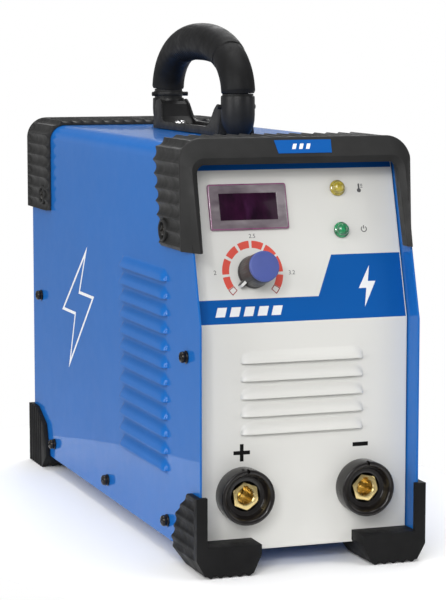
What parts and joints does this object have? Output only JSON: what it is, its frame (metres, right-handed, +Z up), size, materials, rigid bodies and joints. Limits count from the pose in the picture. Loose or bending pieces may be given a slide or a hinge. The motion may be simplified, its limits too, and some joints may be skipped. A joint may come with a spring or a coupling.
{
  "type": "stick welding inverter",
  "caption": "Portable stick welding inverter: steel case with corner guards, sloping control panel, bayonet weld sockets, top handle and fan-cooled power stage.",
  "frame": {"origin": "middle of the footprint, on the surface that the feet stand on", "axes": "+X to the right seen from the front panel, +Y from the front panel to the rear panel, +Z up"},
  "size_m": [0.1418, 0.375, 0.3101],
  "materials": {
    "cover_paint": "glossy blue powder coat",
    "panel_paint": "satin off-white",
    "guard_plastic": "moulded, fine texture",
    "foot_rubber": "matte",
    "grip_rubber": "matte",
    "handle_plastic": "moulded satin",
    "socket_plastic": "glossy",
    "brass": "machined",
    "chrome": "polished",
    "black_steel": "black oxide",
    "plain_steel": "zinc plated",
    "smoked_window": "tinted, clear",
    "display_dark": "dark",
    "lamp_yellow": "clear tinted",
    "lamp_green": "clear tinted",
    "knob_plastic": "moulded satin",
    "knob_cap_plastic": "satin",
    "circuit_board": "solder mask",
    "aluminium": "extruded",
    "copper": "copper",
    "ferrite": "matte",
    "component_black": "sleeved",
    "fan_plastic": "moulded",
    "switch_plastic": "moulded",
    "rocker_plastic": "satin",
    "gland_plastic": "moulded"
  },
  "bodies": {
    "chassis": {"display_window": "smoked_window", "display_module": "display_dark", "overheat_lamp": "lamp_yellow", "power_lamp": "lamp_green", "potentiometer": "plain_steel", "control_board": "circuit_board", "screw_front_mid_left": "black_steel", "screw_front_mid_right": "black_steel", "screw_rear_mid_left": "black_steel", "screw_rear_mid_right": "black_steel", "screw_bottom_front_left": "black_steel", "screw_bottom_front_right": "black_steel", "screw_bottom_mid_left": "black_steel", "screw_bottom_mid_right": "black_steel", "screw_bottom_rear_left": "black_steel", "screw_bottom_rear_right": "black_steel", "screw_front_guard_left": "black_steel", "screw_front_guard_right": "black_steel", "screw_rear_guard_left": "black_steel", "screw_rear_guard_right": "black_steel", "cover_shell": "cover_paint", "base_tray": "cover_paint", "front_panel": "panel_paint", "rear_panel": "cover_paint", "front_guard": "guard_plastic", "rear_guard": "guard_plastic", "foot_front_left": "foot_rubber", "foot_front_right": "foot_rubber", "foot_rear_left": "foot_rubber", "foot_rear_right": "foot_rubber", "handle_grip": "grip_rubber", "handle_screw_front": "chrome", "handle_screw_rear": "chrome", "handle_base": "handle_plastic", "socket_body_positive": "socket_plastic", "socket_insert_positive": "brass", "socket_nut_positive": "brass", "busbar_positive": "copper", "socket_body_negative": "socket_plastic", "socket_insert_negative": "brass", "socket_nut_negative": "brass", "busbar_negative": "copper", "power_board": "circuit_board", "heatsink_left": "aluminium", "heatsink_right": "aluminium", "transformer_core": "ferrite", "transformer_winding": "copper", "output_choke": "copper", "capacitor_a": "component_black", "capacitor_b": "component_black", "bridge_rectifier": "component_black", "fan_frame": "fan_plastic", "fan_guard": "chrome", "power_switch_frame": "switch_plastic", "cable_gland": "gland_plastic", "earth_stud": "brass"},
    "knob": {"current_knob": "knob_plastic", "knob_cap": "knob_cap_plastic"},
    "rocker": {"power_switch_rocker": "rocker_plastic"},
    "rotor": {"fan_rotor": "fan_plastic"}
  },
  "joints": [
    {"name": "current_knob_turn", "type": "hinge", "parent": "chassis", "child": "knob", "pos_m": [-0.0272, -0.16127, 0.16876], "axis": [0, 0.9613, -0.2756], "range_deg": [0, 264]},
    {"name": "power_switch_rock", "type": "hinge", "parent": "chassis", "child": "rocker", "pos_m": [-0.028, 0.1661, 0.195], "axis": [1, 0, 0], "range_deg": [0, 20]},
    {"name": "fan_spin", "type": "hinge", "parent": "chassis", "child": "rotor", "pos_m": [0, 0.1521, 0.082], "axis": [0, 1, 0], "continuous": true}
  ]
}
